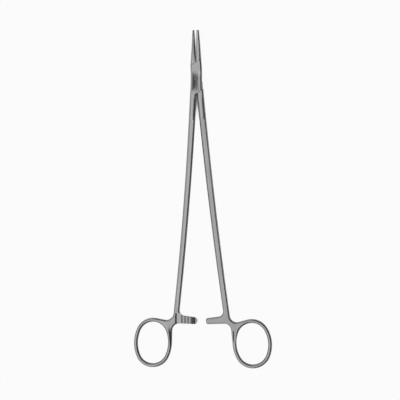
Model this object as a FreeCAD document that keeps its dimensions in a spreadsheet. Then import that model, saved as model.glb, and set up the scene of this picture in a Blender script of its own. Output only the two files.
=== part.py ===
import FreeCAD, Part
import math
import os

import Sketcher
from FreeCAD import Placement, Rotation, Vector

# A long surgical needle holder with a box lock, lying flat on its back.
#
# Two forged halves cross at the lock. The female half is a box: a front and a back wall with a
# slot between them. The male half thins to a plate, runs slantwise through the slot and turns on
# a pin that is riveted flush into both walls. Below the lock each half is one shank, one finger
# ring and one ratchet bar; above it, one serrated jaw.
#
# Frame: the origin is where the pin's axis meets the surface that the box rests on. +Y runs to
# the jaw tips along the closing line, +Z up out of that surface, +X to the female jaw's side.
# Both halves are drawn closed, with the jaw at +X and the shank at -X, and turned open
# afterwards; the male one is then mirrored in the plane X = 0.

SIZES = (
    # The lock
    ("rest_opening", 2.3, "angle between the halves as the instrument lies, degrees"),
    ("full_opening", 55.0, "angle at which the male plate meets its stops, degrees"),
    ("box_thickness", 5.0, "front of the box to its back"),
    ("box_half_width", 4.3, "closing line to the side of the box"),
    ("upper_seam", 9.4, "pivot up to the outer end of the seam under the male jaw"),
    ("lower_seam", 8.9, "pivot down to the outer end of the seam over the male shank"),
    ("seam_slant", 33.0, "rise of both seams across the box, degrees"),
    ("seam_gap", 0.08, "opening of a closed seam"),
    ("slot_height", 2.0, "gap between the walls of the box"),
    ("slot_clearance", 0.05, "play of the male plate on each face"),
    ("web_inset", 2.6, "closing line to the corner of a side web"),
    ("web_clearance", 0.1, "play between the male plate and a side web"),
    ("plate_shoulder", 0.6, "pivot level to the plate's shoulder"),
    ("plate_recess", 2.7, "pivot down to where the plate's side widens to the shank"),
    ("crotch_gap", 0.24, "space between the closed shanks under the box"),
    ("pin_radius", 1.3, "shaft of the pivot pin"),
    ("pin_clearance", 0.04, "play of the male bore on the pin"),
    ("pin_head_radius", 1.65, "riveted head of the pin"),
    ("pin_head_depth", 0.45, "depth of the countersink that holds a head"),
    ("edge_round", 1.4, "rounding along the box, shanks and rings"),
    # The jaws
    ("jaw_reach", 36.9, "pivot to the jaw tips"),
    ("jaw_neck", 0.5, "end of the upper seam to the foot of the tapered jaws"),
    ("jaw_inset", 0.02, "how far a jaw's foot lies inside the skin of the box"),
    ("jaw_middle", 24.0, "pivot to the middle section of the jaws"),
    ("jaw_root_width", 3.85, "closing line to the back of a jaw at its foot"),
    ("female_jaw_middle_width", 3.05, "the same at the middle of the female jaw"),
    ("female_jaw_tip_width", 1.95, "the same at the tip of the female jaw"),
    ("male_jaw_middle_width", 2.65, "the same at the middle of the male jaw"),
    ("male_jaw_tip_width", 1.5, "the same at the tip of the male jaw"),
    ("jaw_tip_thickness", 2.1, "height of the serrated face at the tips"),
    ("jaw_tip_edge", 0.8, "rounding along the back of a jaw at its tip"),
    ("jaw_nose", 0.7, "rounding of the blunt tips"),
    ("jaw_lip", 0.3, "chamfer of the tips towards the serrated faces"),
    ("jaw_gap", 0.04, "space between the closed jaw faces"),
    ("taper_start", 4.2, "pivot up to where the side of the box starts to taper"),
    ("neck_top", 4.0, "pivot down to where the side of the box bends out to the shank"),
    # The shanks
    ("neck_length", 8.37, "lower end of the seam down to the start of the bowed shanks"),
    ("neck_straight", 3.0, "straight part of the female shank's outer edge over that start"),
    ("shank_end", 176.0, "pivot down to the end of the bowed shanks"),
    ("shank_parting", 0.13, "how far a shank's inner edge has left the crotch at its start"),
    ("shank_spread", 12.78, "closing line to a shank's inner edge at its end"),
    ("female_shank_bow", 1.0, "how far its inner edge stands inside its chord half way down"),
    ("female_shank_start_width", 5.0, "female shank under the box"),
    ("female_shank_middle_width", 4.5, "female shank half way down"),
    ("female_shank_end_width", 4.4, "female shank over the ratchet"),
    ("male_shank_bow", 0.8, "how far its inner edge stands inside its chord half way down"),
    ("male_shank_start_width", 5.3, "male shank under the box"),
    ("male_shank_middle_width", 4.93, "male shank half way down"),
    ("male_shank_end_width", 4.62, "male shank over the ratchet"),
    ("handle_thickness", 4.4, "front to back of shanks, ratchet bars and rings"),
    ("thinning_drop", 3.4, "lower end of the seam down to where the shanks start to thin to it"),
    ("thinning_length", 17.0, "that start to where the shanks have thinned to it"),
    # The finger rings
    ("ring_opening_length", 31.9, "finger opening along the instrument"),
    ("ring_end_step", 1.15, "radius of an opening's two ends under half its width"),
    ("ring_wire", 2.95, "width of the ring seen from the front"),
    ("female_ring_opening_width", 23.2, "female finger opening across the instrument"),
    ("female_ring_reach", 20.66, "shank's inner edge at its end out to the ring's centre"),
    ("female_ring_drop", 16.45, "middle of the bar's tip down to the ring's centre"),
    ("female_ring_lean", 1.2, "lean of its long axis towards the closing line, degrees"),
    ("male_ring_opening_width", 24.3, "male finger opening across the instrument"),
    ("male_ring_reach", 21.69, "shank's inner edge at its end out to the ring's centre"),
    ("male_ring_drop", 18.73, "middle of the bar's tip down to the ring's centre"),
    ("male_ring_lean", 3.0, "lean of its long axis towards the closing line, degrees"),
    ("web_top_angle", 10.5, "ring's top round to where the web leaves it, degrees"),
    ("web_radius", 5.5, "hollow between the web and the shank or bar"),
    # The ratchet bars
    ("female_bar_reach", 0.68, "how far the closed female bar passes the closing line"),
    ("female_bar_drop", 10.2, "end of the shank down to the middle of its tip"),
    ("female_bar_width", 5.1, "width of its tip"),
    ("female_bar_slope", 5.4, "fall of the bar towards its tip, degrees"),
    ("female_bar_tip_round", 2.4, "rounding of its tip seen from the front"),
    ("male_bar_reach", 0.21, "how far the closed male bar passes the closing line"),
    ("male_bar_drop", 10.55, "end of the shank down to the middle of its tip"),
    ("male_bar_width", 4.6, "width of its tip"),
    ("male_bar_slope", 2.0, "fall of the bar towards its tip, degrees"),
    ("male_bar_tip_round", 1.5, "rounding of its tip seen from the front"),
    ("bar_flare", 2.7, "widening of each edge of the bar towards its root, degrees"),
    ("bar_root_radius", 4.0, "hollow between the bar and the shank over it"),
    ("bar_edge", 0.3, "chamfer along the toothed face"),
    ("step_wall", 2.42, "shank's inner edge at its end to the wall of the toothed face"),
    ("step_top", 3.9, "end of the shank down to the upper end of that wall"),
    ("step_round", 1.5, "rounding of the wall's upper corner"),
    ("tooth_mesh", 0.35, "how far the teeth reach past the middle plane"),
    ("tooth_depth", 0.7, "tip of a tooth to the bottom of its groove"),
    ("tooth_pitch", 2.37, "one tooth to the next"),
    ("tooth_slope", 1.0, "length of a tooth's slope along the bar"),
    ("tooth_undercut", 0.1, "lean of a tooth's steep face"),
    ("tooth_lead", 4.28, "tip of the bar to the steep face of its first tooth"),
    ("lead_in_start", 0.7, "that steep face to where the lead-in slope starts"),
    ("lead_in_drop", 0.9, "fall of the lead-in slope at the tip"),
    ("groove_count", 4, "grooves cut across each bar"),
)

doc = FreeCAD.newDocument("NeedleHolder")
sheet = doc.addObject("Spreadsheet::Sheet", "Sizes")
for row, (alias, value, note) in enumerate(SIZES, start=1):
    sheet.set(f"A{row}", note)
    sheet.set(f"B{row}", str(value))
    sheet.setAlias(f"B{row}", alias)
doc.recompute()


def size(alias):
    """The value of one cell of the sheet."""
    return float(sheet.get(alias))


def half_size(half, alias):
    """The value of a cell that each half has for itself, such as female_bar_width."""
    return size(f"{half}_{alias}")


# Points closer than this count as one, and faces tilted less than this count as level.
NEAR = 1e-4
LEVEL = 0.01
# How much of the shorter straight beside it a bend between box and shank takes up.
BEND = 0.45
# Largest rounding of a bar's tip or a ring's rim, as a share of its width.
FULL_ROUND = 0.48

MIDDLE = size("box_thickness") / 2
SEAM_RISE = math.tan(math.radians(size("seam_slant")))
JAW_FACE = size("jaw_gap") / 2
SHANK_FACE = size("crotch_gap") / 2
PLATE_HALF_WIDTH = size("box_half_width") - size("web_clearance")
UPPER_SEAM_END = size("upper_seam") + size("box_half_width") * SEAM_RISE
LOWER_SEAM_END = size("lower_seam") + size("box_half_width") * SEAM_RISE
JAW_FOOT = UPPER_SEAM_END + size("jaw_neck")
SHANK_START = LOWER_SEAM_END + size("neck_length")
CLEAR_OF_BOX = size("box_half_width") + size("box_thickness")
PLATE_HALF_HEIGHT = size("slot_height") / 2 - size("slot_clearance")


def plan(x, y):
    """A point of the plan view."""
    return Vector(x, y, 0)


def heading(degrees):
    """The unit vector at an angle from +X in the plan view."""
    return plan(math.cos(math.radians(degrees)), math.sin(math.radians(degrees)))


def crossing(point, along, other_point, other_along):
    """Where two lines of the plan view meet, each given by a point and a direction."""
    gap = other_point - point
    turn = along.x * other_along.y - along.y * other_along.x
    reach = (gap.x * other_along.y - gap.y * other_along.x) / turn
    return point + along * reach


def rounded_path(start, corners, end):
    """Straight edges from start to end, with an arc of its own radius at each corner."""
    edges = []
    last = start
    targets = [corner for corner, radius in corners[1:]] + [end]
    for (corner, radius), target in zip(corners, targets):
        back = (last - corner).normalize()
        ahead = (target - corner).normalize()
        half_angle = back.getAngle(ahead) / 2
        inward = (back + ahead).normalize()
        arc_start = corner + back * (radius / math.tan(half_angle))
        arc_end = corner + ahead * (radius / math.tan(half_angle))
        arc_middle = corner + inward * (radius / math.sin(half_angle) - radius)
        edges.append(Part.LineSegment(last, arc_start))
        edges.append(Part.Arc(arc_start, arc_middle, arc_end))
        last = arc_end
    edges.append(Part.LineSegment(last, end))
    return edges


def polygon(points):
    """Straight edges round a closed outline."""
    ends = points[1:] + points[:1]
    return [Part.LineSegment(start, end) for start, end in zip(points, ends)]


def sketch_on(body, name, plane, offset="0"):
    """An empty sketch on one of the body's origin planes, moved along the plane's normal."""
    sketch = body.newObject("Sketcher::SketchObject", name)
    support = next(f for f in body.Origin.OriginFeatures if f.Role == plane)
    sketch.AttachmentSupport = [(support, "")]
    sketch.MapMode = "FlatFace"
    sketch.setExpression("AttachmentOffset.Base.z", offset)
    return sketch


def plan_sketch(body, name, edges, offset="Sizes.box_thickness / 2"):
    """A sketch of the plan view, by default in the middle plane of the instrument."""
    sketch = sketch_on(body, name, "XY_Plane", offset)
    sketch.addGeometry(edges, False)
    return sketch


def pad(body, name, sketch, length):
    """Adds the sketch's outline, as thick as length, half to each side of the sketch."""
    feature = body.newObject("PartDesign::Pad", name)
    feature.Profile = sketch
    feature.Midplane = True
    feature.setExpression("Length", length)
    return feature


def pocket(body, name, sketch, length, both_sides=True, reverse=False):
    """Cuts the sketch's outline away and checks that it removed material."""
    before = body.Shape.Volume
    feature = body.newObject("PartDesign::Pocket", name)
    feature.Profile = sketch
    feature.Midplane = both_sides
    feature.Reversed = reverse
    feature.setExpression("Length", length)
    doc.recompute()
    if body.Shape.Volume > before - NEAR:
        raise RuntimeError(f"{body.Label}: {name} cuts nothing")
    return feature


def edge_names(shape, wanted):
    """Names of the edges of a shape for which wanted(edge, its middle point) holds."""
    names = []
    for number, edge in enumerate(shape.Edges, start=1):
        middle = edge.valueAt((edge.FirstParameter + edge.LastParameter) / 2)
        if wanted(edge, middle):
            names.append(f"Edge{number}")
    return names


def dress_edges(body, kind, name, radius, wanted):
    """Rounds or chamfers the wanted edges of the body as it is so far."""
    base = body.Tip
    feature = body.newObject(f"PartDesign::{kind}", name)
    feature.Base = (base, edge_names(base.Shape, wanted))
    feature.setExpression("Radius" if kind == "Fillet" else "Size", radius)
    doc.recompute()
    return feature


def shank_side(half, inner):
    """The bowed inner or outer edge of a shank, from the lock down to the ratchet."""
    start = plan(-SHANK_FACE - size("shank_parting"), -SHANK_START)
    end = plan(-size("shank_spread"), -size("shank_end"))
    middle = (start + end) / 2 + plan(half_size(half, "shank_bow"), 0)
    outward = 0 if inner else -1
    return Part.Arc(
        start + plan(outward * half_size(half, "shank_start_width"), 0),
        middle + plan(outward * half_size(half, "shank_middle_width"), 0),
        end + plan(outward * half_size(half, "shank_end_width"), 0),
    )


def bar_tip(half):
    """The middle of the ratchet bar's tip."""
    drop = size("shank_end") + half_size(half, "bar_drop")
    return plan(half_size(half, "bar_reach"), -drop)


def ring_centre(half):
    """The centre of the finger ring."""
    offset = size("shank_spread") + half_size(half, "ring_reach")
    return plan(-offset, bar_tip(half).y - half_size(half, "ring_drop"))


def ring_path(half, wire, leave, arrive):
    """Arcs round a finger ring, between two directions in degrees from its top end outwards.

    A wire of 0 gives the finger opening, and the width of the wire the ring's outer side.
    """
    centre = ring_centre(half)
    top = 90 - half_size(half, "ring_lean")
    half_width = half_size(half, "ring_opening_width") / 2
    end_radius = half_width - size("ring_end_step")
    end_centre = size("ring_opening_length") / 2 - end_radius
    side_radius = (end_centre**2 + half_width**2 - end_radius**2) / (2 * (half_width - end_radius))
    side_centre = side_radius - half_width
    turn = math.degrees(math.atan2(side_centre, end_centre))
    arcs = (
        (heading(top) * end_centre, end_radius, leave, turn),
        (heading(top - 90) * side_centre, side_radius, turn, 180 - turn),
        (heading(top + 180) * end_centre, end_radius, 180 - turn, 180 + turn),
        (heading(top + 90) * side_centre, side_radius, 180 + turn, min(arrive, 360 - turn)),
    )
    path = []
    for shift, radius, first, last in arcs:
        angles = (first, (first + last) / 2, last)
        points = [centre + shift + heading(top + angle) * (radius + wire) for angle in angles]
        path.append(Part.Arc(*points))
    if arrive > 360 - turn:
        closing = (arrive + 360 - turn) / 2
        points = [path[-1].EndPoint]
        for angle in (closing, arrive):
            points.append(centre + arcs[0][0] + heading(top + angle) * (end_radius + wire))
        path.append(Part.Arc(*points))
    return path


def bar_edges(half):
    """Corner points of the bar's tip and the directions of its two edges towards the root."""
    tip = bar_tip(half)
    slope = half_size(half, "bar_slope")
    across = heading(90 - slope) * (half_size(half, "bar_width") / 2)
    upper = (tip + across, heading(180 - slope - size("bar_flare")))
    lower = (tip - across, heading(180 - slope + size("bar_flare")))
    return upper, lower


def handle_path(half):
    """The outline of shank, ratchet bar and ring, from the inner top end to the outer one."""
    inner = shank_side(half, inner=True)
    outer = shank_side(half, inner=False)
    inner_end = inner.value(inner.LastParameter)
    outer_end = outer.value(outer.LastParameter)
    inner_along = inner.tangent(inner.LastParameter)[0]
    outer_along = outer.tangent(outer.LastParameter)[0]
    (upper_tip, upper_along), (lower_tip, lower_along) = bar_edges(half)
    tip_round = min(half_size(half, "bar_tip_round"), FULL_ROUND * half_size(half, "bar_width"))
    ring = ring_path(half, size("ring_wire"), -size("web_top_angle"), 270)
    top = ring[0].StartPoint
    side = ring[-1].EndPoint
    top_along = ring[0].tangent(ring[0].FirstParameter)[0]
    side_along = ring[-1].tangent(ring[-1].LastParameter)[0]
    bar_root = crossing(inner_end, inner_along, upper_tip, upper_along)
    bar_foot = crossing(side, side_along, lower_tip, lower_along)
    web_root = crossing(outer_end, outer_along, top, top_along)
    down = rounded_path(
        inner_end,
        [
            (bar_root, size("bar_root_radius")),
            (upper_tip, tip_round),
            (lower_tip, tip_round),
            (bar_foot, size("web_radius")),
        ],
        side,
    )
    up = rounded_path(top, [(web_root, size("web_radius"))], outer_end)
    return [inner] + down + ring + up + [outer]


def neck_path(points):
    """Straights through the points of a neck, with a bend as wide as they allow at each."""
    corners = []
    for before, corner, after in zip(points, points[1:], points[2:]):
        turn = (corner - before).getAngle(after - corner)
        reach = BEND * min((corner - before).Length, (after - corner).Length)
        corners.append((corner, reach / math.tan(turn / 2)))
    return rounded_path(points[0], corners, points[-1])


def neck_corner(arc, side_x):
    """Where the line that runs up from a shank's edge meets a line parallel to Y."""
    start = arc.value(arc.FirstParameter)
    along = arc.tangent(arc.FirstParameter)[0]
    return crossing(start, along, plan(side_x, 0), plan(0, 1))


def box_side_taper():
    """The side of the box from where it starts to taper to the foot of the jaw."""
    low = plan(size("box_half_width"), size("taper_start"))
    high = plan(size("jaw_root_width"), JAW_FOOT)
    middle = plan(low.x - (low.x - high.x) / 4, (low.y + high.y) / 2)
    return Part.Arc(low, middle, high)


def female_outline():
    """The whole female half but its jaw: the box, and under it the shank, bar and ring."""
    width = size("box_half_width")
    inner = shank_side("female", inner=True)
    outer = shank_side("female", inner=False)
    upper_outer = plan(-width, size("upper_seam"))
    upper_inner = plan(JAW_FACE, size("upper_seam") + (width + JAW_FACE) * SEAM_RISE)
    jaw_inner = plan(JAW_FACE, JAW_FOOT)
    jaw_outer = plan(size("jaw_root_width"), JAW_FOOT)
    taper = plan(width, size("taper_start"))
    lower_outer = plan(width, -size("lower_seam"))
    lower_inner = plan(-SHANK_FACE, -size("lower_seam") - (width + SHANK_FACE) * SEAM_RISE)
    inner_start = inner.value(inner.FirstParameter)
    outer_start = outer.value(outer.FirstParameter)
    neck_inner = neck_corner(inner, -SHANK_FACE)
    outer_along = outer.tangent(outer.FirstParameter)[0]
    neck_outer = outer_start - outer_along * size("neck_straight")
    neck_side = plan(-width, -size("neck_top"))
    return (
        [
            Part.LineSegment(upper_outer, upper_inner),
            Part.LineSegment(upper_inner, jaw_inner),
            Part.LineSegment(jaw_inner, jaw_outer),
            box_side_taper(),
            Part.LineSegment(taper, lower_outer),
            Part.LineSegment(lower_outer, lower_inner),
        ]
        + neck_path([lower_inner, neck_inner, inner_start])
        + handle_path("female")
        + neck_path([outer_start, neck_outer, neck_side, upper_outer])
    )


def male_handle_outline():
    """The male half below the box: shank, bar and ring, cut off along the lower seam."""
    width = size("box_half_width")
    inner = shank_side("male", inner=True)
    outer = shank_side("male", inner=False)
    seam_drop = size("lower_seam") + size("seam_gap") / math.cos(math.radians(size("seam_slant")))
    seam_point = plan(-width, -seam_drop)
    seam_along = heading(-size("seam_slant"))
    inner_start = inner.value(inner.FirstParameter)
    outer_start = outer.value(outer.FirstParameter)
    neck_inner = neck_corner(inner, -SHANK_FACE)
    outer_along = outer.tangent(outer.FirstParameter)[0]
    seam_inner = crossing(seam_point, seam_along, neck_inner, plan(0, 1))
    seam_outer = crossing(seam_point, seam_along, outer_start, outer_along)
    return (
        [
            Part.LineSegment(outer_start, seam_outer),
            Part.LineSegment(seam_outer, seam_inner),
        ]
        + neck_path([seam_inner, neck_inner, inner_start])
        + handle_path("male")
    )


def male_jaw_root_outline():
    """The full-thickness foot of the male jaw, from the upper seam to the tapered jaw."""
    width = size("box_half_width")
    seam_rise = size("upper_seam") + size("seam_gap") / math.cos(math.radians(size("seam_slant")))
    return polygon(
        [
            plan(PLATE_HALF_WIDTH, seam_rise + (width - PLATE_HALF_WIDTH) * SEAM_RISE),
            plan(size("jaw_root_width"), JAW_FOOT),
            plan(JAW_FACE, JAW_FOOT),
            plan(JAW_FACE, seam_rise + (width - JAW_FACE) * SEAM_RISE),
        ]
    )


def web_end(x):
    """A point of a side web's end face, against which the plate's side stops when open."""
    stop = math.radians(size("full_opening"))
    reach = PLATE_HALF_WIDTH + size("web_clearance")
    return plan(x, (reach - x * math.cos(stop)) / math.sin(stop))


def slot_outline():
    """The passage through the box between its two side webs."""
    clear = CLEAR_OF_BOX
    corner = web_end(size("web_inset"))
    end = web_end(size("box_half_width") + size("web_clearance"))
    upper = [
        plan(0, UPPER_SEAM_END),
        corner,
        end,
        plan(clear, end.y),
    ]
    lower = [
        plan(-SHANK_FACE, -LOWER_SEAM_END),
        -corner,
        -end,
        plan(-clear, -end.y),
    ]
    return polygon(upper + [plan(clear, -LOWER_SEAM_END)] + lower + [plan(-clear, UPPER_SEAM_END)])


def plate_outline():
    """The thin plate that crosses the box, drawn like the male half with its jaw at +X."""
    play = size("web_clearance")
    corner = web_end(size("web_inset"))
    outer = shank_side("male", inner=False)
    outer_start = outer.value(outer.FirstParameter)
    outer_along = outer.tangent(outer.FirstParameter)[0]
    recess_end = plan(-PLATE_HALF_WIDTH, -size("plate_recess"))
    widened = crossing(outer_start, outer_along, recess_end, heading(225))
    foot_y = -size("lower_seam") - size("jaw_neck")
    foot = crossing(outer_start, outer_along, plan(0, foot_y), plan(1, 0))
    inside = SHANK_FACE + play
    return polygon(
        [
            plan(inside, UPPER_SEAM_END + size("jaw_neck") / 2),
            plan(inside, UPPER_SEAM_END),
            plan(-corner.x + play, corner.y - play),
            plan(-PLATE_HALF_WIDTH, size("plate_shoulder")),
            recess_end,
            widened,
            foot + plan(play, 0),
            plan(-inside, -LOWER_SEAM_END - size("jaw_neck")),
            plan(-inside, -LOWER_SEAM_END),
            plan(corner.x - play, -corner.y + play),
            plan(PLATE_HALF_WIDTH, -size("plate_shoulder")),
            plan(PLATE_HALF_WIDTH, size("upper_seam")),
            plan(size("jaw_root_width") - play, JAW_FOOT - size("jaw_neck")),
        ]
    )


def thin_handle(body):
    """Slopes front and back, just under the box, down to the thickness of shank and ring."""
    sketch = sketch_on(body, "ThinningProfile", "YZ_Plane")
    start = -LOWER_SEAM_END - size("thinning_drop")
    end = start - size("thinning_length")
    below_rings = ring_centre("male").y - size("ring_opening_length")
    thin = size("handle_thickness") / 2
    far = MIDDLE + size("box_thickness")
    for face in (1, -1):
        profile = [
            plan(start, MIDDLE + face * MIDDLE),
            plan(start, MIDDLE + face * far),
            plan(below_rings, MIDDLE + face * far),
            plan(below_rings, MIDDLE + face * thin),
            plan(end, MIDDLE + face * thin),
        ]
        sketch.addGeometry(polygon(profile), False)
    pocket(body, "Thinning", sketch, "4 * (Sizes.shank_spread + Sizes.male_ring_reach)")


def open_ring(body, half):
    """Cuts the finger opening."""
    sketch = plan_sketch(body, "FingerOpening", ring_path(half, 0, 0, 360))
    pocket(body, "FingerOpeningCut", sketch, "2 * Sizes.box_thickness")


def face_tilts(shape, edge):
    """The larger and the smaller Z share of the normals of the two faces at an edge."""
    shares = []
    middle = edge.valueAt((edge.FirstParameter + edge.LastParameter) / 2)
    for face in shape.ancestorsOfType(edge, Part.Face):
        u, v = face.Surface.parameter(middle)
        shares.append(abs(face.normalAt(u, v).z))
    return max(shares), min(shares)


def round_rim(body):
    """Rounds the rims of box, shank, bar and ring, and leaves seams and jaw faces sharp."""
    shape = body.Tip.Shape

    def is_rim(edge, middle):
        flat, upright = face_tilts(shape, edge)
        if flat < 1 - LEVEL or upright > LEVEL:
            return False
        if abs(abs(middle.z - MIDDLE) - PLATE_HALF_HEIGHT) < NEAR:
            return False
        along = edge.tangentAt(edge.FirstParameter)
        slanted = abs(abs(along.x) - math.cos(math.radians(size("seam_slant")))) < NEAR
        above_seam = middle.y > size("upper_seam")
        inside_jaw = above_seam and middle.x < size("jaw_root_width") * 3 / 4
        return not slanted and not inside_jaw

    radius = f"min(Sizes.edge_round; {FULL_ROUND} * Sizes.ring_wire)"
    dress_edges(body, "Fillet", "Rims", radius, is_rim)


def jaw(body, half):
    """The tapered jaw: flat on its serrated face, rounded along its back, blunt at its tip."""
    foot = JAW_FOOT - size("jaw_neck") / 2
    inset = size("jaw_inset")
    middle_share = (size("jaw_middle") - foot) / (size("jaw_reach") - foot)
    root_height = size("box_thickness") - 2 * inset
    middle_height = root_height + (size("jaw_tip_thickness") - root_height) * middle_share
    middle_edge = size("edge_round") + (size("jaw_tip_edge") - size("edge_round")) * middle_share
    stations = (
        (foot, size("jaw_root_width") - inset, root_height, size("edge_round")),
        (size("jaw_middle"), half_size(half, "jaw_middle_width"), middle_height, middle_edge),
        (
            size("jaw_reach"),
            half_size(half, "jaw_tip_width"),
            size("jaw_tip_thickness"),
            size("jaw_tip_edge"),
        ),
    )
    sections = []
    for number, (y, width, height, edge_radius) in enumerate(stations, start=1):
        sketch = sketch_on(body, f"JawSection{number}", "XZ_Plane", f"{-y}")
        low = MIDDLE - height / 2
        high = MIDDLE + height / 2
        corners = [
            (plan(width, low), edge_radius),
            (plan(width, high), edge_radius),
        ]
        face_low = plan(JAW_FACE, low)
        face_high = plan(JAW_FACE, high)
        edges = rounded_path(face_low, corners, face_high)
        edges.append(Part.LineSegment(face_high, face_low))
        sketch.addGeometry(edges, False)
        sections.append(sketch)
    loft = body.newObject("PartDesign::AdditiveLoft", "Jaw")
    loft.Profile = sections[0]
    loft.Sections = sections[1:]
    doc.recompute()

    def is_lip(edge, middle):
        at_tip = abs(middle.y - size("jaw_reach")) < NEAR
        return at_tip and middle.x < JAW_FACE + NEAR

    def is_nose(edge, middle):
        at_tip = abs(middle.y - size("jaw_reach")) < NEAR
        return at_tip and middle.x > JAW_FACE + size("jaw_lip") + NEAR

    dress_edges(body, "Chamfer", "Lip", "Sizes.jaw_lip", is_lip)
    dress_edges(body, "Fillet", "Nose", "Sizes.jaw_nose", is_nose)


def ratchet(body, half, face):
    """Cuts the bar to its toothed level and cuts the grooves; face is 1 for teeth in front."""
    level = MIDDLE + face * size("tooth_mesh")
    wall = -size("shank_spread") - size("step_wall")
    top = -size("shank_end") - size("step_top")
    reach = half_size(half, "bar_reach")
    past_tip = reach + size("tooth_pitch")
    below_bar = bar_tip(half).y - half_size(half, "bar_width")
    step_foot = plan(wall, below_bar)
    outline = rounded_path(
        step_foot,
        [(plan(wall, top), size("step_round"))],
        plan(past_tip, top),
    )
    outline.append(Part.LineSegment(plan(past_tip, top), plan(past_tip, below_bar)))
    outline.append(Part.LineSegment(plan(past_tip, below_bar), step_foot))
    sign = "+" if face > 0 else "-"
    offset = f"Sizes.box_thickness / 2 {sign} Sizes.tooth_mesh"
    step = plan_sketch(body, "RatchetStep", outline, offset)
    pocket(body, "RatchetStepCut", step, "Sizes.box_thickness", False, face > 0)

    floor = body.Tip.Shape

    def is_bar_rim(edge, middle):
        flat, upright = face_tilts(floor, edge)
        on_floor = abs(middle.z - level) < NEAR and middle.y < top - NEAR
        off_wall = middle.x > wall + size("step_round") + size("bar_edge") / 4
        return on_floor and off_wall and upright < LEVEL

    dress_edges(body, "Chamfer", "BarRim", "Sizes.bar_edge", is_bar_rim)

    first = reach - size("tooth_lead")
    deep = level - face * size("tooth_depth")
    above = level + face * size("tooth_depth")
    grooves = []
    for number in range(int(size("groove_count"))):
        steep = first - number * size("tooth_pitch")
        grooves += polygon(
            [
                plan(steep, deep),
                plan(steep - size("tooth_undercut"), above),
                plan(steep - 2 * size("tooth_slope"), above),
            ]
        )
    lead = first + size("lead_in_start")
    lead_in_end = size("lead_in_drop") * (past_tip - lead) / (reach - lead)
    grooves += polygon(
        [
            plan(lead, level),
            plan(past_tip, above),
            plan(past_tip, level - face * lead_in_end),
        ]
    )
    cutter = sketch_on(body, "ToothProfile", "XZ_Plane", f"{-(top + below_bar) / 2}")
    cutter.addGeometry(grooves, False)
    pocket(body, "ToothCut", cutter, f"{top - below_bar}")


def rivet(body, kind, name):
    """Turns the riveted pin's section round the pivot, as material or as its seat in the box."""
    head = size("pin_head_depth")
    top = size("box_thickness")
    section = sketch_on(body, f"{name}Section", "XZ_Plane")
    section.addGeometry(
        polygon(
            [
                plan(0, 0),
                plan(size("pin_head_radius"), 0),
                plan(size("pin_radius"), head),
                plan(size("pin_radius"), top - head),
                plan(size("pin_head_radius"), top),
                plan(0, top),
            ]
        ),
        False,
    )
    feature = body.newObject(kind, name)
    feature.Profile = section
    feature.ReferenceAxis = (section, ["V_Axis"])
    feature.Angle = 360
    doc.recompute()
    return feature


female = doc.addObject("PartDesign::Body", "FemaleHalf")
female.Label = "female_half"
pad(female, "Blank", plan_sketch(female, "Outline", female_outline()), "Sizes.box_thickness")
doc.recompute()
thin_handle(female)
open_ring(female, "female")
round_rim(female)
jaw(female, "female")
slot = plan_sketch(female, "SlotOutline", slot_outline())
pocket(female, "Slot", slot, "Sizes.slot_height")
ratchet(female, "female", 1)

male = doc.addObject("PartDesign::Body", "MaleBlank")
handle = plan_sketch(male, "HandleOutline", male_handle_outline())
pad(male, "Handle", handle, "Sizes.box_thickness")
doc.recompute()
thin_handle(male)
open_ring(male, "male")
plate = plan_sketch(male, "PlateOutline", plate_outline())
pad(male, "Plate", plate, "Sizes.slot_height - 2 * Sizes.slot_clearance")
root = plan_sketch(male, "JawRootOutline", male_jaw_root_outline())
pad(male, "JawRoot", root, "Sizes.box_thickness")
doc.recompute()
round_rim(male)
jaw(male, "male")
ratchet(male, "male", -1)

bore_circle = Part.Circle(plan(0, 0), Vector(0, 0, 1), size("pin_radius"))
bore = plan_sketch(male, "Bore", [bore_circle])
bore.addConstraint(Sketcher.Constraint("Coincident", 0, 3, -1, 1))
bore.addConstraint(Sketcher.Constraint("Radius", 0, size("pin_radius")))
bore.renameConstraint(1, "bore_radius")
bore.setExpression("Constraints.bore_radius", "Sizes.pin_radius + Sizes.pin_clearance")
pocket(male, "BoreCut", bore, "2 * Sizes.box_thickness")

pin = doc.addObject("PartDesign::Body", "PivotPin")
pin.Label = "pivot_pin"
rivet(pin, "PartDesign::Revolution", "Turned")
rivet(female, "PartDesign::Groove", "RivetSeat")

for body in (female, male):
    body.Placement = Placement(Vector(0, 0, 0), Rotation(Vector(0, 0, 1), 0))
    body.setExpression("Placement.Rotation.Angle", "-Sizes.rest_opening / 2")

mirrored = doc.addObject("Part::Mirroring", "MaleHalf")
mirrored.Label = "male_half"
mirrored.Source = male
mirrored.Normal = Vector(1, 0, 0)
doc.recompute()

for item in doc.Objects:
    if "Invalid" in item.State or "Error" in item.State:
        raise RuntimeError(f"{item.Name} failed: {item.State}")

os.makedirs("parts", exist_ok=True)
for piece in (female, mirrored, pin):
    shape = piece.Shape
    if shape.isNull() or not shape.isValid():
        raise RuntimeError(f"{piece.Label} is not a valid solid")
    shape.exportStep(f"parts/{piece.Label}.step")
    print(piece.Label, round(shape.Volume, 1), "mm3,", len(shape.Faces), "faces")
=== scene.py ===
import math

import bmesh
import bpy
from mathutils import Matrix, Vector
from mathutils.bvhtree import BVHTree


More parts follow.
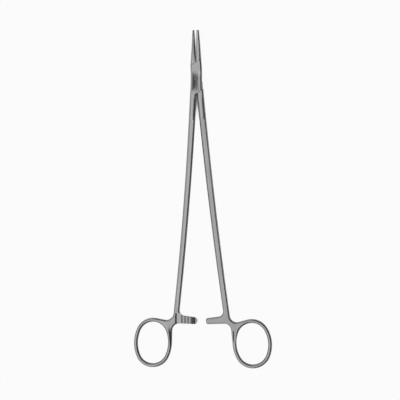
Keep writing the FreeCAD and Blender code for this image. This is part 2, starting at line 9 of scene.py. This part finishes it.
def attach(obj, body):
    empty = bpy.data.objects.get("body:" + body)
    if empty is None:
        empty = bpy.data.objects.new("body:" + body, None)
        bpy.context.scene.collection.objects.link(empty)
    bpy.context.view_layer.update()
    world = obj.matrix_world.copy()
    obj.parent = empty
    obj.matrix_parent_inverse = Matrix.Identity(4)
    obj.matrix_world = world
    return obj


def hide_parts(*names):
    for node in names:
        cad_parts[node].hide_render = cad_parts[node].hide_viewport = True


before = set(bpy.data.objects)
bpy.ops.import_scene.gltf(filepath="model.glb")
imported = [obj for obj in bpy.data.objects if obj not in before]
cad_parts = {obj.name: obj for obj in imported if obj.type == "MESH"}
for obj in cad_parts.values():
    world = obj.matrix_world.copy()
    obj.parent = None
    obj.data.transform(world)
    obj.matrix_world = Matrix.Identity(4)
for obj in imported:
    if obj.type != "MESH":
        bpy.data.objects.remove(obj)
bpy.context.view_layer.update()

# Camera
# The instrument is photographed from straight above with a long lens, lying a little turned in
# the picture.
MM = 0.001
VIEW_WIDTH = 306.6 * MM
VIEW_CENTRE = Vector((0.80, -93.55, 2.5)) * MM
VIEW_TURN = math.radians(-1.2)
LENS = 200
SENSOR = 36
FAR_CLIP = 10

camera_data = bpy.data.cameras.new("camera")
camera_data.lens = LENS
camera_data.sensor_width = SENSOR
camera_data.clip_end = FAR_CLIP
camera = bpy.data.objects.new("camera", camera_data)
camera.location = VIEW_CENTRE + Vector((0, 0, VIEW_WIDTH * LENS / SENSOR))
camera.rotation_euler = (0, 0, VIEW_TURN)
bpy.context.scene.collection.objects.link(camera)
bpy.context.scene.camera = camera
bpy.context.scene.view_settings.view_transform = "Standard"

# Room
# A wide soft lamp hangs over the instrument and a little to its left. The room is darker beyond
# it, darkest on the right, where the rounded edges turn dark, and paler again low down.
LAMP = 1.12
ROOM_DARK = 0.045
HORIZON = 0.20
LOST_LEFT = 0.50
LOST_ABOVE = 0.60
LOST_BELOW = 0.50

# Where the lamp fades, from and to, in parts of a direction of length 1 towards that side.
FADE_RIGHT = (-0.03, 0.18)
FADE_LEFT = (0.20, 0.85)
FADE_ABOVE = (0.10, 0.60)
FADE_BELOW = (0.25, 0.80)
FADE_UP = (0.20, 0.60)


class Shader:
    """A node's output in a node tree, with operators that add Math nodes."""

    def __init__(self, tree, socket=None):
        self.tree = tree
        self.socket = socket

    def node(self, kind, settings=None, output=0, **values):
        """Adds a node with its settings and fills its sockets: at0 is number 0, _ is a space."""
        made = self.tree.nodes.new(kind)
        for name, value in (settings or {}).items():
            setattr(made, name, value)
        for name, value in values.items():
            number = name.removeprefix("at")
            socket = made.inputs[int(number) if number.isdigit() else name.replace("_", " ")]
            if isinstance(value, Shader):
                self.tree.links.new(value.socket, socket)
            else:
                socket.default_value = value
        return Shader(self.tree, made.outputs[output] if made.outputs else None)

    def math(self, operation, first, second):
        return self.node("ShaderNodeMath", {"operation": operation}, at0=first, at1=second)

    def __add__(self, other):
        return self.math("ADD", self, other)

    def __sub__(self, other):
        return self.math("SUBTRACT", self, other)

    def __mul__(self, other):
        return self.math("MULTIPLY", self, other)

    def __rsub__(self, other):
        return self.math("SUBTRACT", other, self)

    __radd__ = __add__
    __rmul__ = __mul__

    def step(self, low, high):
        """0 below low, 1 above high and a smooth rise between them."""
        return self.node(
            "ShaderNodeMapRange",
            {"interpolation_type": "SMOOTHSTEP"},
            Value=self,
            From_Min=low,
            From_Max=high,
        )


room = bpy.data.worlds.new("room")
room.use_nodes = True
room.node_tree.nodes.clear()
tree = Shader(room.node_tree)
towards = tree.node("ShaderNodeTexCoord", output="Generated")
x = tree.node("ShaderNodeSeparateXYZ", Vector=towards, output="X")
y = tree.node("ShaderNodeSeparateXYZ", Vector=towards, output="Y")
z = tree.node("ShaderNodeSeparateXYZ", Vector=towards, output="Z")
right = 1 - x.step(*FADE_RIGHT)
left = 1 - LOST_LEFT * (-1 * x).step(*FADE_LEFT)
above = 1 - LOST_ABOVE * y.step(*FADE_ABOVE)
below = 1 - LOST_BELOW * (-1 * y).step(*FADE_BELOW)
dark = ROOM_DARK + HORIZON * (1 - z.step(*FADE_UP))
light = dark + (LAMP - dark) * right * left * above * below
background = tree.node("ShaderNodeBackground", Strength=light)
tree.node("ShaderNodeOutputWorld", Surface=background)
bpy.context.scene.world = room

# Sheet
# The instrument lies on a sheet of white paper, which glows white right up to it. In narrow gaps,
# and around the instrument where the steel mirrors it, an occlusion mask dims the glow as painted
# shade and painted shadow, leaving the lamp-lit paper with its real shadow.
SHEET_SIZE = 3.0
SHEET_TONE = 0.80
SHEET_WHITE = 0.95
SHEET_IN_STEEL = 0.35
UNDER_BACK = 0.02 * MM

# Painted shade and painted shadow: how far around a spot the occlusion mask looks for steel, and
# how open the spot must be to glow white.
GAP = 4 * MM
GAP_OPEN = (0.10, 0.45)
SHADOW = 30 * MM
SHADOW_OPEN = (0.80, 1.0)

sheet_mesh = bpy.data.meshes.new("sheet")
shape = bmesh.new()
bmesh.ops.create_grid(shape, x_segments=1, y_segments=1, size=SHEET_SIZE / 2)
bmesh.ops.translate(shape, verts=shape.verts, vec=(0, 0, -UNDER_BACK))
shape.to_mesh(sheet_mesh)
shape.free()
sheet = bpy.data.objects.new("sheet", sheet_mesh)
bpy.context.scene.collection.objects.link(sheet)

paper = bpy.data.materials.new("white_sheet")
paper.use_nodes = True
paper.node_tree.nodes.clear()
tree = Shader(paper.node_tree)
camera_ray = tree.node("ShaderNodeLightPath", output="Is Camera Ray")
glossy_ray = tree.node("ShaderNodeLightPath", output="Is Glossy Ray")
transmission_ray = tree.node("ShaderNodeLightPath", output="Is Transmission Ray")
# Painted shade: ambient occlusion takes the white glow away in narrow gaps, and near the steel in
# what the steel mirrors, as a painted contact shadow.
gap_painted_shade = tree.node("ShaderNodeAmbientOcclusion", output="AO", Distance=GAP)
steel_painted_shadow = tree.node("ShaderNodeAmbientOcclusion", output="AO", Distance=SHADOW)
mirrored = SHEET_IN_STEEL * (glossy_ray + transmission_ray) * steel_painted_shadow.step(*SHADOW_OPEN)
shown = SHEET_WHITE * camera_ray * gap_painted_shade.step(*GAP_OPEN) + mirrored
lit = tree.node("ShaderNodeBsdfDiffuse", Color=(SHEET_TONE, SHEET_TONE, SHEET_TONE, 1))
white = tree.node("ShaderNodeEmission", Strength=1.0)
surface = tree.node("ShaderNodeMixShader", at0=shown, at1=lit, at2=white)
tree.node("ShaderNodeOutputMaterial", Surface=surface)
sheet_mesh.materials.append(paper)

# Female half
# One forging of satin-ground stainless steel: the right jaw, the box with its slot, the left
# shank, its ratchet bar and its finger ring. The grinding belt leaves its long flats a little
# crowned, the front of the box with a soft hollow and the root of the ring with a short one.
STEEL_TONE = 0.55
STEEL_ROUGHNESS = 0.22
TONE_CHANGE = 0.05
CLOUD_SCALE = 90.0
CLOUD_ROUGHNESS = 0.06
MARK_SCALE = (2600, 220, 2600)
MARK_ROUGHNESS = 0.10
MARK_DEPTH = 0.0015 * MM
WAVE_SCALE = 45.0
WAVE_DEPTH = 0.3 * MM
NOISE_MIDDLE = 0.5
SHARP = math.radians(28)
LARGE_FACES_LEAD = 100

MIDDLE = 2.5 * MM
BOX_FRONT = 5.0 * MM
SAME_PLACE = 0.001 * MM
SAME_PLANE = 0.001
SAME_LEVEL = 0.01 * MM
ON_PLANE = 0.0001 * MM

# The part of a face's normal along z: at least FLAT on a front or back, under WALL at a side.
FLAT = 0.99
WALL = 0.05

# The crown: how much lower the sides of shank and jaw are, and how wide a strip falls off.
FEMALE_LEFT = -22 * MM
FEMALE_RIGHT = 6 * MM
SHANK_END = -176 * MM
SHANK_START = -13 * MM
SHANK_DROP = 0.46 * MM
SHANK_STRIP = 2.35 * MM
JAW_START = 13.5 * MM
JAW_TIP = 37 * MM
JAW_DROP = 0.22 * MM
JAW_STRIP = 1.3 * MM
JAW_THINNING = 0.06
CROWN_FADE = 6 * MM
CROWN_CORE = 0.45
CROWN_NET = (0.45 * MM, 4 * MM)

# The soft hollow in the front of the box, deepest at HOLLOW_BOTTOM across it.
HOLLOW_DEPTH = 0.62 * MM
HOLLOW_LEFT = -4.6 * MM
HOLLOW_BOTTOM = 1.8 * MM
HOLLOW_RIGHT = 3.4 * MM
HOLLOW_MIDDLE = -2.8 * MM
HOLLOW_LENGTH = 6.3 * MM
HOLLOW_REACH = 1.5 * HOLLOW_LENGTH
HOLLOW_SIDES = 1.5
HOLLOW_ENDS = 4
HOLLOW_NET = (0.45 * MM, 0.7 * MM)

# The short hollow at the root of a ring, in the front and in the back.
FEMALE_ROOT = (-23.9 * MM, -198.8 * MM)
FEMALE_ROOT_DEPTH = 0.40 * MM
ROOT_WIDTH = 1.1 * MM
ROOT_LENGTH = 5.5 * MM
ROOT_REACH = (3 * ROOT_WIDTH, 2.5 * ROOT_LENGTH)
ROOT_SEARCH = 30 * MM
ROOT_FACING = 0.2
ROOT_CORE = 1 * MM
ROOT_NET = (0.3 * MM, 1.5 * MM)

# The rounding of the shank's front over the step down to the toothed face.
STEP_WALL = -18.95 * MM
STEP_TOP = -180.6 * MM
STEP_ROUND = 1.5 * MM
STEP_FOOT = 0.15 * MM
STEP_PLAY = 0.2 * MM
STEP_ABOVE = 4 * MM
STEP_FACING = 0.97
STEP_LEVEL = 4.2 * MM
STEP_NET = (0.25 * MM, 0.8 * MM)
BAR_REACH = 12 * MM

# The hollowed ramp at the end of the toothed face.
RAMP_START = -6.7 * MM
RAMP_END = -3.0 * MM
RAMP_DROP = 0.91 * MM
RAMP_CURVE = 6
RAMP_FACING = (0.9, 0.99)
RAMP_NET = (0.3 * MM, 1 * MM)

# The broken edges of the seams at both ends of the box.
SEAM_EDGE = 0.16 * MM
SEAM_REACH = 13 * MM
SEAM_FACING = 0.3

# The pyramids in the closing face of a jaw. There are PYRAMID_ROWS on each side of its middle.
JAW_FOOT = 13.3 * MM
JAW_TURN = math.radians(1.15)
JAW_FACING = 0.999
PYRAMID_LENGTH = 0.82 * MM
PYRAMID_HEIGHT = 0.5 * MM
PYRAMID_DEPTH = 0.11 * MM
PYRAMIDS = 30
PYRAMID_ROWS = 5


def merged_copy(node, name):
    """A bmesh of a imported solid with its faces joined, and an empty piece for it."""
    shape = bmesh.new()
    shape.from_mesh(bpy.data.objects[node].data)
    bmesh.ops.remove_doubles(shape, verts=shape.verts, dist=SAME_PLACE)
    bmesh.ops.dissolve_limit(shape, angle_limit=SAME_PLANE, verts=shape.verts, edges=shape.edges)
    piece = bpy.data.objects.new(name, bpy.data.meshes.new(name))
    bpy.context.scene.collection.objects.link(piece)
    return shape, piece


def cut_net(shape, faces, planes):
    """Cuts faces along planes and returns the corners that they then have."""
    net = list(dict.fromkeys(part for face in faces for part in (face, *face.edges, *face.verts)))
    for place, across in planes:
        cut = bmesh.ops.bisect_plane(
            shape, geom=net, plane_co=place, plane_no=across, dist=ON_PLANE
        )
        net = cut["geom"]
    return [part for part in net if isinstance(part, bmesh.types.BMVert)]


def grid(low, high, step):
    """Planes across x and y, between two corners and a step apart."""
    planes = []
    for axis in (0, 1):
        across = Vector((1 - axis, axis, 0))
        for count in range(1, math.ceil((high[axis] - low[axis]) / step[axis])):
            planes.append((across * (low[axis] + count * step[axis]), across))
    return planes


def between(place, low, high):
    """Whether a place lies between two corners, seen from the front."""
    return low[0] < place.x < high[0] and low[1] < place.y < high[1]


def flats(shape, low, high, facing=FLAT):
    """The faces towards the front or the back whose middles lie between two corners."""
    return [
        face
        for face in shape.faces
        if abs(face.normal.z) > facing and between(face.calc_center_median(), low, high)
    ]


def smooth(share):
    """A smooth rise from 0 to 1."""
    share = min(max(share, 0.0), 1.0)
    return share * share * (3 - 2 * share)


def crown_at(y):
    """How much lower the sides are at a place along the half, the strip, and half its thickness."""
    if SHANK_END < y < SHANK_START:
        fade = smooth((y - SHANK_END) / CROWN_FADE) * smooth((SHANK_START - y) / CROWN_FADE)
        return fade * SHANK_DROP, SHANK_STRIP, MIDDLE
    if JAW_START < y < JAW_TIP:
        fade = smooth((y - JAW_START) / CROWN_FADE)
        return fade * JAW_DROP, JAW_STRIP, MIDDLE - JAW_THINNING * (y - JAW_START)
    return 0.0, SHANK_STRIP, MIDDLE


def crown(shape, left, right):
    """Lowers the front and back of shank and jaw towards their sides, as a grinding belt does."""
    walls = [face for face in shape.faces if abs(face.normal.z) < WALL]
    sides = BVHTree.FromPolygons(
        [corner.co.copy() for corner in shape.verts],
        [[corner.index for corner in face.verts] for face in walls],
    )
    low = (left, SHANK_END)
    high = (right, JAW_TIP)
    cut_net(shape, flats(shape, low, high), grid(low, high, CROWN_NET))
    for corner in shape.verts:
        height = corner.co.z - MIDDLE
        drop, strip, half = crown_at(corner.co.y)
        if drop > 0 and abs(height) > CROWN_CORE * half:
            away = sides.find_nearest(Vector((corner.co.x, corner.co.y, MIDDLE)))[3]
            drop *= (1 - min(away, strip) / strip) ** 2
            corner.co.z -= math.copysign(drop, height)


def box_hollow(place):
    """How deep the soft hollow in the front of the box is at a place."""
    if not HOLLOW_LEFT < place.x < HOLLOW_RIGHT:
        return 0.0
    end = HOLLOW_LEFT if place.x < HOLLOW_BOTTOM else HOLLOW_RIGHT
    across = abs((place.x - HOLLOW_BOTTOM) / (end - HOLLOW_BOTTOM))
    along = (place.y - HOLLOW_MIDDLE) / HOLLOW_LENGTH
    return HOLLOW_DEPTH * (1 - across ** HOLLOW_SIDES) * math.exp(-(along ** HOLLOW_ENDS))


def grind_box(shape):
    """Lowers the front of the box into its soft hollow."""
    low = (HOLLOW_LEFT, HOLLOW_MIDDLE - HOLLOW_REACH)
    high = (HOLLOW_RIGHT, HOLLOW_MIDDLE + HOLLOW_REACH)
    front = [
        face
        for face in flats(shape, low, high)
        if face.calc_center_median().z > BOX_FRONT - SAME_LEVEL
    ]
    for corner in cut_net(shape, front, grid(low, high, HOLLOW_NET)):
        if corner.co.z > BOX_FRONT - SAME_LEVEL:
            corner.co.z -= box_hollow(corner.co)


def grind_root(shape, root, depth):
    """Grinds the short hollow at the root of a ring, at the front and at the back."""
    low = (root[0] - ROOT_REACH[0], root[1] - ROOT_REACH[1])
    high = (root[0] + ROOT_REACH[0], root[1] + ROOT_REACH[1])
    far_low = (low[0] - ROOT_SEARCH, low[1] - ROOT_SEARCH)
    far_high = (high[0] + ROOT_SEARCH, high[1] + ROOT_SEARCH)
    inside = [
        face
        for face in flats(shape, far_low, far_high, ROOT_FACING)
        if any(between(corner.co, low, high) for corner in face.verts)
    ]
    for corner in cut_net(shape, inside, grid(low, high, ROOT_NET)):
        across = (corner.co.x - root[0]) / ROOT_WIDTH
        along = (corner.co.y - root[1]) / ROOT_LENGTH
        height = corner.co.z - MIDDLE
        drop = depth * math.exp(-(across ** 2) - along ** 2)
        corner.co.z -= math.copysign(min(drop, max(abs(height) - ROOT_CORE, 0)), height)


def round_step(shape):
    """Rounds the shank over into the wall at the root of the ratchet."""
    low = (STEP_WALL - STEP_ROUND, STEP_TOP - BAR_REACH)
    high = (STEP_WALL + 2 * STEP_FOOT, STEP_TOP + STEP_ABOVE)
    front = [
        face
        for face in shape.faces
        if face.normal.z > STEP_FACING and face.calc_center_median().z > STEP_LEVEL
    ]
    for corner in cut_net(shape, front, grid(low, high, STEP_NET)):
        away = STEP_WALL + STEP_FOOT - corner.co.x
        if STEP_TOP - BAR_REACH < corner.co.y < STEP_TOP and -STEP_PLAY < away < STEP_ROUND:
            left = STEP_ROUND - max(away, 0)
            corner.co.z -= STEP_ROUND - math.sqrt(STEP_ROUND ** 2 - left ** 2)


def scoop_ramp(shape):
    """Hollows the ramp by which the end of the toothed face rides up on the other bar."""
    ramp = [
        face
        for face in shape.faces
        if RAMP_FACING[0] < face.normal.z < RAMP_FACING[1]
        and RAMP_START < face.calc_center_median().x < RAMP_END
        and face.calc_center_median().y < STEP_TOP
    ]
    low = (RAMP_START, STEP_TOP - BAR_REACH)
    high = (RAMP_END, STEP_TOP)
    for corner in cut_net(shape, ramp, grid(low, high, RAMP_NET)):
        left = 1 - (corner.co.x - RAMP_START) / (RAMP_END - RAMP_START)
        if 0 < left < 1:
            corner.co.z -= RAMP_DROP * (left - left ** RAMP_CURVE)


def is_seam(edge):
    """Whether an edge on the front runs where the male half passes into the box."""
    if len(edge.link_faces) != 2:
        return False
    wall = min(edge.link_faces, key=lambda face: abs(face.normal.z))
    in_front = min(corner.co.z for corner in edge.verts) > BOX_FRONT - SAME_LEVEL
    crosses = abs(wall.normal.z) < WALL and abs(wall.normal.y) > SEAM_FACING
    return in_front and crosses and abs(edge.verts[0].co.y) < SEAM_REACH


def break_seams(shape):
    """Breaks the edges of the seams at the ends of the box, so that they show as thin lines."""
    seams = [edge for edge in shape.edges if is_seam(edge)]
    bmesh.ops.bevel(
        shape, geom=seams, offset=SEAM_EDGE, segments=1, profile=0.5, affect="EDGES", material=-1
    )


def cut_pyramids(shape, side):
    """Cuts the net of crossed grooves into the flat face of a jaw. side is 1 for the right jaw."""
    turn = -side * JAW_TURN
    along = Vector((-math.sin(turn), math.cos(turn), 0))
    out = Vector((math.cos(turn), math.sin(turn), 0)) * -side
    up = Vector((0, 0, 1))
    start = Vector((0, 0, MIDDLE)) + along * JAW_FOOT
    flat = [
        face
        for face in shape.faces
        if face.normal.dot(out) > JAW_FACING and JAW_FOOT < face.calc_center_median().y < JAW_TIP
    ]
    rising = along / PYRAMID_LENGTH + up / PYRAMID_HEIGHT
    falling = along / PYRAMID_LENGTH - up / PYRAMID_HEIGHT
    planes = []
    for count in range(-PYRAMID_ROWS - 1, PYRAMIDS + 2 * PYRAMID_ROWS):
        for across in (rising, falling):
            planes.append((start + across * count / across.length_squared, across.normalized()))
    for count in range(2 * PYRAMIDS):
        planes.append((start + along * (count * PYRAMID_LENGTH / 2), along))
    for count in range(-2 * PYRAMID_ROWS, 2 * PYRAMID_ROWS + 1):
        planes.append((start + up * (count * PYRAMID_HEIGHT / 2), up))
    for corner in cut_net(shape, flat, planes):
        reach = corner.co - start
        first = reach.dot(along) / PYRAMID_LENGTH + reach.z / PYRAMID_HEIGHT
        second = reach.dot(along) / PYRAMID_LENGTH - reach.z / PYRAMID_HEIGHT
        rise = 1 - 2 * max(abs(first % 1 - 0.5), abs(second % 1 - 0.5))
        corner.co -= out * PYRAMID_DEPTH * (1 - rise)


def satin_steel(name):
    """Satin stainless steel: grey, evenly ground, with faint marks of the grinding belt."""
    material = bpy.data.materials.new(name)
    material.use_nodes = True
    material.node_tree.nodes.clear()
    tree = Shader(material.node_tree)
    place = tree.node("ShaderNodeTexCoord", output="Object")
    belt = tree.node("ShaderNodeMapping", Vector=place, Scale=MARK_SCALE)
    marks = tree.node("ShaderNodeTexNoise", Vector=belt, Scale=1.0, Detail=3.0)
    clouds = tree.node("ShaderNodeTexNoise", Vector=place, Scale=CLOUD_SCALE, Detail=2.0)
    waves = tree.node("ShaderNodeTexNoise", Vector=place, Scale=WAVE_SCALE, Detail=1.0)
    cloud = clouds - NOISE_MIDDLE
    mark = marks - NOISE_MIDDLE
    grey = STEEL_TONE + TONE_CHANGE * cloud + TONE_CHANGE * mark
    colour = tree.node("ShaderNodeCombineColor", Red=grey, Green=grey, Blue=grey)
    rough = STEEL_ROUGHNESS + CLOUD_ROUGHNESS * cloud + MARK_ROUGHNESS * mark
    uneven = tree.node("ShaderNodeBump", Height=waves, Distance=WAVE_DEPTH, Strength=1.0)
    relief = tree.node("ShaderNodeBump", Height=marks, Distance=MARK_DEPTH, Normal=uneven)
    steel = tree.node(
        "ShaderNodeBsdfPrincipled",
        Base_Color=colour,
        Metallic=1.0,
        Roughness=rough,
        Normal=relief,
    )
    tree.node("ShaderNodeOutputMaterial", Surface=steel)
    return material


def finish_piece(shape, piece, material):
    """Gives the piece its mesh, soft over its roundings and crisp at edges, and its material."""
    for face in shape.faces:
        face.smooth = True
    for edge in shape.edges:
        edge.smooth = edge.is_manifold and edge.calc_face_angle() < SHARP
    shape.to_mesh(piece.data)
    shape.free()
    piece.data.materials.append(material)
    weighted = piece.modifiers.new("face_weights", "WEIGHTED_NORMAL")
    weighted.keep_sharp = True
    weighted.weight = LARGE_FACES_LEAD


steel = satin_steel("satin_steel")

shape, female = merged_copy("female_half", "female_forging")
break_seams(shape)
crown(shape, FEMALE_LEFT, FEMALE_RIGHT)
grind_box(shape)
round_step(shape)
scoop_ramp(shape)
grind_root(shape, FEMALE_ROOT, FEMALE_ROOT_DEPTH)
cut_pyramids(shape, 1)
finish_piece(shape, female, steel)
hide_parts("female_half")
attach(female, "root")

# Male half
# The other forging of the same steel: the left jaw, the thin plate in the box's slot, the right
# shank, its ratchet bar and its finger ring. Its jaw has the same net of pyramids.
MALE_LEFT = -6 * MM
MALE_RIGHT = 22 * MM
MALE_ROOT = (24.9 * MM, -199.8 * MM)
MALE_ROOT_DEPTH = 0.70 * MM

shape, male = merged_copy("male_half", "male_forging")
break_seams(shape)
crown(shape, MALE_LEFT, MALE_RIGHT)
grind_root(shape, MALE_ROOT, MALE_ROOT_DEPTH)
cut_pyramids(shape, -1)
finish_piece(shape, male, steel)
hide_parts("male_half")
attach(male, "male")

# Pivot pin
# The steel pin of the box lock, riveted into both walls, ground down together with the front of
# the box and polished over with it, so that it hardly shows.
shape, pin = merged_copy("pivot_pin", "pivot_rivet")
grind_box(shape)
finish_piece(shape, pin, satin_steel("pin_steel"))
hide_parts("pivot_pin")
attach(pin, "root")
